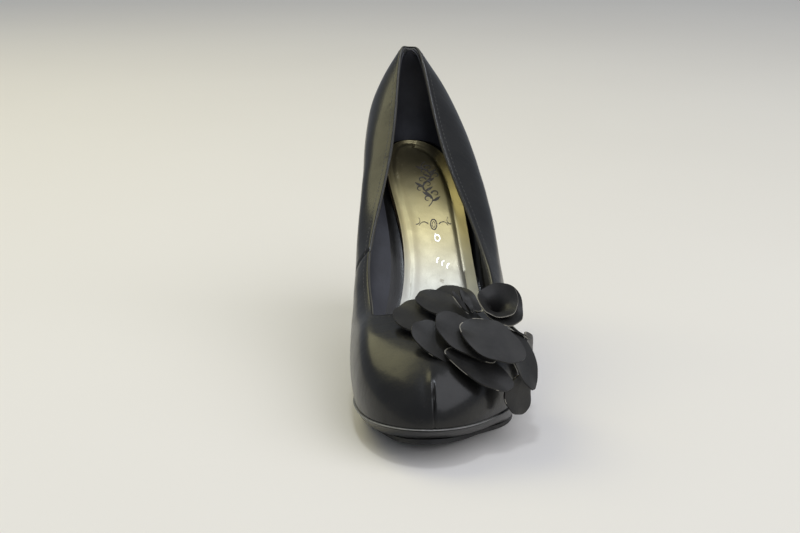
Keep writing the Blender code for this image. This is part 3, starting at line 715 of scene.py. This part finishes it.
def make_stitches(name, path, skin_piece, thread, slot):
    """A row of stitches lying on a skin; one stitch is modelled and copied along the path."""
    bpy.ops.mesh.primitive_uv_sphere_add(segments=8, ring_count=6, radius=1)
    pattern = bpy.context.object
    corners = [Vector((v.co.z * STITCH_LENGTH / 2, v.co.x * STITCH_WIDE, v.co.y * STITCH_DEEP))
               for v in pattern.data.vertices]
    loops = [tuple(face.vertices) for face in pattern.data.polygons]
    bpy.data.objects.remove(pattern)
    tree = BVHTree.FromObject(skin_piece, bpy.context.evaluated_depsgraph_get())
    points, faces = [], []
    for at, along in evenly(path, STITCH_LENGTH + STITCH_GAP):
        near, normal, _, _ = tree.find_nearest(at)
        along = (along - normal * along.dot(normal)).normalized()
        turn = Matrix((along, normal.cross(along), normal)).transposed()
        first = len(points)
        points += [near - normal * STITCH_SUNK + turn @ corner for corner in corners]
        faces += [tuple(first + i for i in loop) for loop in loops]
    done(built(name, points, faces), thread, slot, angle=80)


# ---------------------------------------------------------------- the sock

# How the sock's face rises and sinks, in millimetres: height, how far in from its edge, half width
SOCK_RIM = (1.5, 0.0, 1.5)  # turned up against the lining all round
SOCK_GROOVE = (-0.75, 4.6, 1.0)  # on the lateral side, where the pad ends
SOCK_RIDGE = (0.55, 4.5, 1.9)  # on the medial side
SOCK_SPREAD, SOCK_SPREAD_FADE = 0.8, 2.5  # how far the edge is pushed out, and over what width
ABOVE_SHOE = 0.3  # a height above every point of the shoe
FILM_LIFTS = (0.09, 0.01)  # the top and underside of a printed film, in millimetres above the sock


def hump(distance, height, place, width):
    return height * bell(distance - place, width)


def make_sock(foil):
    """The foil sock: turned up at its edge, grooved on its lateral side where the pad ends."""
    sock = copied("sock", "sock_foil")
    mesh = sock.data
    keep_faces(sock, lambda face: face.normal.z > 0.3 and shortest_edge(mesh, face) > 0.8 * MM)
    smooth(sock, 4)
    shape = bmesh.new()
    shape.from_mesh(sock.data)
    rim = [vert.co.copy() for vert in shape.verts if vert.is_boundary]
    shape.free()
    edge = KDTree(len(rim))
    for number, point in enumerate(rim):
        edge.insert(point, number)
    edge.balance()
    moved = []
    for point, normal in surface(sock):
        nearest, _, distance = edge.find(point)
        inside = distance / MM
        side = 1 if nearest.x > middle_of_sock(point.y) else -1
        lift = hump(inside, *SOCK_RIM) + 0.12 * noise.noise(point / (9 * MM))
        lift += hump(inside, *(SOCK_GROOVE if side > 0 else SOCK_RIDGE))
        spread = Vector((side * SOCK_SPREAD * math.exp(-inside / SOCK_SPREAD_FADE), 0, 0))
        moved.extend(point + normal * lift * MM + spread * MM)
    sock.data.vertices.foreach_set("co", moved)
    tree = BVHTree.FromObject(sock, bpy.context.evaluated_depsgraph_get())
    thicken(sock, SOCK_THICK)
    done(sock, foil, "gold_foil", "sock")
    return tree


def middle_of_sock(y):
    """Middle of the foot across, which leans lateral at the ball and comes back at the heel."""
    return (3.5 + hump(y / MM, 5.5, 45, 45)) * MM


def on_sock(tree, x, y, lift):
    """The point that far above the sock's face at a place of the plan."""
    near, normal, _, _ = tree.ray_cast(Vector((x, y, ABOVE_SHOE)), -UP)
    return near + normal * lift


def ribbon(points, wide):
    """A flat strip along plan points in millimetres; wide gives its half width at each share."""
    strip = []
    for number, here in enumerate(points):
        after = points[min(number + 1, len(points) - 1)]
        before = points[max(number - 1, 0)]
        along = (after - before).normalized()
        across = Vector((-along.y, along.x)) * wide(number / (len(points) - 1))
        strip.append((here + across, here - across))
    return strip


def print_on_sock(name, tree, strips, finish):
    """Lays flat strips on the sock as a thin printed film."""
    points, faces = [], []
    for strip in strips:
        first = len(points)
        for pair in strip:
            for lift in FILM_LIFTS:
                for at in pair:
                    points.append(on_sock(tree, at.x * MM, at.y * MM, lift * MM))
        for row in range(len(strip) - 1):
            a, b = first + row * 4, first + row * 4 + 4
            faces += [
                (a, b, b + 1, a + 1), (a + 2, a + 3, b + 3, b + 2),
                (a, a + 2, b + 2, b), (a + 1, b + 1, b + 3, a + 3),
            ]
        last = first + (len(strip) - 1) * 4
        faces += [(first, first + 1, first + 3, first + 2), (last, last + 2, last + 3, last + 1)]
    done(built(name, points, faces), finish, "gold_foil")


def arc(centre, radius, start, turn, steps=24, squeeze=1.0, shrink=0.0):
    """Points of an arc or, with shrink, a spiral, about centre; angles in degrees."""
    made = []
    for step in range(steps + 1):
        share = step / steps
        angle = math.radians(start + turn * share)
        reach = radius * (1 - shrink * share)
        made.append(Vector((
            centre[0] + reach * math.cos(angle) * squeeze, centre[1] + reach * math.sin(angle),
        )))
    return made


def even(width):
    """A half width that stays the same along a strip."""
    return lambda t: width


# Places on the sock's plan, in millimetres
VINE_X, VINE_FOOT, VINE_LENGTH, VINE_SWAY, VINE_STEPS = 7.5, 97, 32, 2.4, 30
OVAL_X, OVAL_Y = 9.5, 87.5
DASH_X, DASH_Y, DASH_STEP_X, DASH_STEP_Y = 11.5, 70, 2.6, 1.3


def make_vine():
    """A swaying stem with curls to both sides, each with a leaf."""
    stem = []
    for step in range(VINE_STEPS + 1):
        share = step / VINE_STEPS
        sway = VINE_SWAY * math.sin(share * math.pi * 4)
        stem.append(Vector((VINE_X + sway, VINE_FOOT + VINE_LENGTH * step / VINE_STEPS)))
    strips = [ribbon(stem, lambda t: 0.22 + 0.25 * math.sin(t * math.pi))]
    for number in range(8):
        root = stem[3 + number * 3]
        side = 1 if number % 2 else -1
        middle = (root.x + side * 2.6, root.y + 1.2)
        curl = arc(middle, 2.1, 90 + side * 90, -side * 300, 20, shrink=0.6)
        strips.append(ribbon(curl, lambda t: 0.42 * (1 - t) + 0.12))
        leaf = [root + Vector((side * -4.2 * step / 8, 2.6 * (step / 8) ** 1.5))
                for step in range(9)]
        strips.append(ribbon(
            leaf, lambda t: 0.75 * math.sin(clamp(t, 0.03, 0.97) * math.pi) ** 0.8 + 0.03))
    return strips


def make_oval():
    """Two ovals, one in the other, with a pair of curls to each side."""
    strips = [
        ribbon(arc((OVAL_X, OVAL_Y), 2.6, 0, 357, 30, squeeze=0.62), even(0.28)),
        ribbon(arc((OVAL_X, OVAL_Y), 1.5, 0, 357, 24, squeeze=0.5), even(0.16)),
    ]
    for side in (-1, 1):
        near = arc((OVAL_X + side * 5.0, 86.2), 2.6, 90 - side * 75, side * 130, 18)
        far = arc((OVAL_X + side * 9.0, 89.5), 1.9, 270 + side * 10, -side * 150, 14)
        strips.append(ribbon(near, lambda t: 0.12 + 0.12 * t))
        strips.append(ribbon(far, lambda t: 0.24 - 0.14 * t))
    return strips


def make_size_mark():
    """The size number, 6, over three short curved dashes."""
    bowl = arc((11.0, 80.8), 1.5, 90, 357, 24, squeeze=0.85)
    back = [Vector((p.x, p.y + 0.4)) for p in arc((12.9, 80.9), 3.3, 150, 55, 14, squeeze=0.95)]
    strips = [ribbon(bowl, even(0.30)), ribbon(back, even(0.30))]
    for number in range(3):
        middle = (DASH_X + number * DASH_STEP_X, DASH_Y - number * DASH_STEP_Y)
        strips.append(ribbon(arc(middle, 1.5, 100, 110, 12), even(0.30)))
    return strips


def make_ornament(tree, ink, silver):
    """A plain vine scroll, an oval with curls, and the size number, all generic."""
    print_on_sock("vine_print", tree, make_vine(), ink)
    print_on_sock("oval_print", tree, make_oval(), ink)
    print_on_sock("size_print", tree, make_size_mark(), silver)


# ---------------------------------------------------------------- the sole and the heel

# The tread, in millimetres: where it ends at the arch, its middle and half width across, and the
# spacing of its grooves
TREAD_END, TREAD_MIDDLE, TREAD_HALF, TREAD_PITCH = 52, 4, 30, 3.4
TREAD_DEPTH = 0.45 * MM


def tread_groove(point, normal):
    """Cross grooves moulded in the tread, fading out towards its edge and the arch."""
    if normal.z > -0.6 or point.y > TREAD_END * MM:
        return 0.0
    wave = math.cos(point.y / MM * 2 * math.pi / TREAD_PITCH)
    across = abs(point.x / MM - TREAD_MIDDLE) / TREAD_HALF
    fade = clamp((1 - across) * 5) * clamp((TREAD_END - point.y / MM) / 6)
    return -TREAD_DEPTH * max(0.0, wave) ** 3 * fade


def make_sole(leather, rubber, welt, tip_rubber):
    rand = smooth(copied("rand", "rand_strip"), 3)
    done(rand, welt, "rand", "rand")
    wrap = smooth(copied("platform_wrap", "platform_cover"), 3, sharp=55)
    drape(wrap, 12 * MM, 0.15 * MM, 5.0)
    done(wrap, leather, "platform_wrap", "platform_wrap")
    sole = soften(copied("outsole", "outsole_moulded"), 0.35 * MM, 2)
    smooth(sole, 3, sharp=35)
    swell(sole, tread_groove)
    done(sole, rubber, "outsole_rubber", "outsole")
    cover = smooth(copied("heel_cover", "heel_wrap"), 3, sharp=45)
    drape(cover, 14 * MM, 0.12 * MM, 7.0)
    done(cover, leather, "heel_cover", "heel_cover")
    tip = soften(copied("top_piece", "top_piece_moulded"), 0.3 * MM, 3)
    done(tip, tip_rubber, "top_piece", "top_piece")
    pad = smooth(copied("sock_padding", "sock_pad_foam"), 2)
    done(pad, foam_finish(), "foam", "sock_padding")


def dress(material, *nodes):
    """Gives CAD nodes that show as they are their finish."""
    for node in nodes:
        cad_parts[node].material_slots[0].material = material


def make_hidden():
    """Finishes of the pieces inside the shoe, which keep the shapes they have in the frame."""
    board = matte_finish(
        "fibre_board", (0.20, 0.13, 0.075), (0.33, 0.23, 0.14), 2 * MM, 0.8, 0.95)
    stiff = matte_finish(
        "stiffener_sheet", (0.42, 0.37, 0.29), (0.56, 0.51, 0.42), 3 * MM, 0.8, 0.95)
    cork = matte_finish(
        "cork_filler", (0.22, 0.13, 0.06), (0.45, 0.31, 0.18), 1.6 * MM, 0.85, 0.97, 0.3 * MM)
    plastic = matte_finish(
        "moulded_plastic", (0.40, 0.39, 0.37), (0.48, 0.47, 0.45), 8 * MM, 0.5, 0.65, 0.02 * MM)
    dark = matte_finish(
        "platform_foam", (0.14, 0.14, 0.14), (0.22, 0.22, 0.22), 1.5 * MM, 0.8, 0.95, 0.15 * MM)
    steel = brushed_finish("spring_steel", (0.58, 0.58, 0.60))
    tape = woven_finish("cotton_tape", (0.06, 0.06, 0.06), (0.15, 0.15, 0.15), 0.4 * MM)
    dress(board, "insole_board")
    dress(stiff, "toe_puff", "heel_counter")
    dress(cork, "bottom_filler")
    dress(plastic, "heel_core")
    dress(dark, "platform_core")
    dress(tape, "topline_tape")
    dress(steel, "shank", "heel_dowel", "heel_screw", "top_piece_pin",
          "shank_rivet_1", "shank_rivet_2", *[f"heel_nail_{number}" for number in range(1, 5)])


# ---------------------------------------------------------------- the rosette

PETAL_FRONT = Vector((0.2, -0.5, 0.85))
ROSETTE_HEART = Vector((0.030, -0.016, 0.050))
BUD_PINCH = 8.5  # millimetres that the bud's leaves are drawn down in their middle by a stitch
PINCH_WIDTH = 0.3  # as a share of the leaf
ROOT_GATHER = 0.35  # how much narrower a petal is where its root is sewn down
CUT_TURN = 0.55  # a face turned further from the petal's own than this is part of its cut edge,
CUT_FROM = 0.8  # if it is at least this share of the way out to the rim
# How each petal is bent: how far its tip droops, its root goes down to the base, and its rim waves
# (millimetres), and how much wider it is than the petal it was cut for
PETAL_BENDS = {
    "petal_01": (0.8, 5.0, 0.5, 1.03), "petal_02": (0.3, 4.0, 0.4, 1.03),
    "petal_03": (0.3, 4.0, 0.4, 1.05), "petal_04": (0.9, 5.0, 0.5, 1.03),
    "petal_05": (1.0, 5.0, 0.5, 1.05), "petal_06": (0.4, 1.5, 0.4, 1.05),
    "petal_07": (0.0, 4.0, 0.4, 1.0), "petal_08": (0.0, 3.0, 0.4, 1.0),
    "petal_09": (0.0, 2.0, 0.4, 1.25), "petal_10": (0.8, 4.0, 0.5, 1.12),
    "petal_11": (1.0, 3.0, 0.5, 1.12), "petal_12": (0.6, 2.0, 0.4, 1.15),
    "bud_petal_1": (-3.2, -2.0, 0.4, 1.08), "bud_petal_2": (-3.6, -2.2, 0.5, 1.04),
}


def petal_axes(piece):
    """A petal's middle, its long way towards the tip, its side way and the way its face looks."""
    points = np.array([v.co for v in piece.data.vertices])
    middle = points.mean(0)
    _, _, ways = np.linalg.svd(points - middle)
    middle = Vector(middle)
    long_way, _, face_way = (Vector(way) for way in ways)
    if face_way.dot(PETAL_FRONT) < 0:
        face_way.negate()
    if long_way.dot(middle - ROSETTE_HEART) < 0:
        long_way.negate()
    return middle, long_way, face_way.cross(long_way), face_way


def bent(u, v, w, bends, first, second, pinch):
    """Where a flat petal's point goes: u and v as shares along and across, w out in millimetres."""
    droop, root, wave, wider = bends
    r, angle = math.hypot(u, v), math.atan2(v, u)
    rim = (wider + 0.03 * r * math.sin(3 * angle + second)
           + 0.012 * r * math.sin(8 * angle + first))
    w += wave * (r ** 2 * math.sin(2 * angle + first)
                 + 0.6 * r ** 4 * math.sin(5 * angle + second))
    w -= droop * max(0.0, u) ** 2
    down = clamp(-u - 0.05) ** 1.6
    w -= root * down
    w -= pinch * bell(r, PINCH_WIDTH)
    return u * rim, v * rim * (1 - ROOT_GATHER * down), w


def make_petals(leather):
    for number, (node, bends) in enumerate(PETAL_BENDS.items()):
        piece = copied(node, f"{node}_leather")
        mesh = piece.data
        middle, long_way, side_way, face_way = petal_axes(piece)
        keep_faces(piece, lambda face: not on_rim(mesh, face) and face.normal.dot(face_way) > 0.3)
        smooth(piece, 3)
        reach = max(abs((v.co - middle).dot(long_way)) for v in piece.data.vertices)
        spread = max(abs((v.co - middle).dot(side_way)) for v in piece.data.vertices)
        random.seed(number)
        first, second = random.uniform(0, 6.28), random.uniform(0, 6.28)
        pinch = BUD_PINCH if node.startswith("bud") else 0.0
        moved = []
        for point, _ in surface(piece):
            off = point - middle
            u, v, w = bent(off.dot(long_way) / reach, off.dot(side_way) / spread,
                           off.dot(face_way) / MM, bends, first, second, pinch)
            moved.extend(middle + long_way * u * reach + side_way * v * spread
                         + face_way * w * MM)
        piece.data.vertices.foreach_set("co", moved)
        thicken(piece, PETAL_THICK)

        def cut_edge(point, normal):
            off = point - middle
            out = math.hypot(off.dot(long_way) / reach, off.dot(side_way) / spread)
            return 1.0 if abs(normal.dot(face_way)) < CUT_TURN and out > CUT_FROM else 0.0

        mark(piece, "raw", cut_edge)
        done(piece, leather, "petal_leather", node, angle=55)
    dress(leather, "rosette_base")


# ---------------------------------------------------------------- the stage

FLOOR_DROP = 0.2 * MM  # the floor lies this far under the sole
LIT_POINT = Vector((0, 0.02, 0.05))  # the lights point at the middle of the shoe
# Each light's name, place, width in metres, watts and colour
LIGHTS = (
    ("window", (-0.75, 0.72, 1.30), 1.0, 8, (1.0, 0.93, 0.52)),
    ("lamp", (-0.05, -0.22, 1.55), 0.16, 3.5, (0.86, 0.92, 1.0)),
    ("sky", (1.1, -0.8, 1.7), 2.6, 32, (0.93, 0.94, 1.0)),
)
AIR_COLOUR, AIR_STRENGTH = (0.84, 0.90, 1.0, 1), 0.36
CAMERA_PLACE = (-0.038, -0.5688, 0.2528)
CAMERA_DOWN, CAMERA_TURN = 17.6, -2.6  # degrees
CAMERA_LENS, CAMERA_SENSOR = 58.5, 36  # millimetres


def make_stage():
    bpy.ops.mesh.primitive_plane_add(size=12, location=(0, 3, -FLOOR_DROP))
    floor = bpy.context.object
    floor.name = "floor"
    made = Finish("pale_floor")
    soft = made.cloud(0.5, 3)
    colour = made.mix(soft, (0.80, 0.765, 0.715), (0.84, 0.81, 0.765))
    floor.data.materials.append(made.wear(colour, soft * 0.1 + 0.8))

    world = bpy.data.worlds.new("studio")
    bpy.context.scene.world = world
    world.use_nodes = True
    air = world.node_tree.nodes["Background"]
    air.inputs["Color"].default_value = AIR_COLOUR
    air.inputs["Strength"].default_value = AIR_STRENGTH
    for name, place, size, watts, colour in LIGHTS:
        light = bpy.data.lights.new(name, "AREA")
        light.size, light.energy, light.color = size, watts, colour
        lamp = bpy.data.objects.new(name, light)
        lamp.location = place
        lamp.rotation_euler = (LIT_POINT - Vector(place)).to_track_quat("-Z", "Y").to_euler()
        bpy.context.scene.collection.objects.link(lamp)

    camera = bpy.data.cameras.new("camera")
    camera.lens, camera.sensor_width = CAMERA_LENS, CAMERA_SENSOR
    viewer = bpy.data.objects.new("camera", camera)
    viewer.location = CAMERA_PLACE
    viewer.rotation_euler = (math.radians(90 - CAMERA_DOWN), 0, math.radians(CAMERA_TURN))
    bpy.context.scene.collection.objects.link(viewer)
    bpy.context.scene.camera = viewer
    bpy.context.scene.view_settings.view_transform = "Standard"


# ---------------------------------------------------------------- the whole shoe

def main():
    leather = leather_finish(
        "black_leather_upper", (0.006, 0.0058, 0.0056), (0.011, 0.0105, 0.0095), 0.20, 0.36)
    make_upper(leather)
    make_lining(lining_finish())
    sock = make_sock(foil_finish())
    ink = print_finish("dark_print", (0.05, 0.04, 0.03), 0.5)
    silver = print_finish("silver_print", (0.85, 0.84, 0.82), 0.3, 0.9)
    make_ornament(sock, ink, silver)
    welt = matte_finish("rand_strip", (0.16, 0.158, 0.15), (0.27, 0.265, 0.25), 4 * MM, 0.3, 0.42)
    tip = matte_finish("tip_rubber", (0.012, 0.012, 0.012), (0.03, 0.03, 0.03), 1.5 * MM, 0.6, 0.8)
    make_sole(leather, tread_finish(), welt, tip)
    make_hidden()
    make_petals(cut_leather_finish(
        "petal_leather_cut", (0.013, 0.0125, 0.012), (0.022, 0.021, 0.0195)))
    make_stage()


main()
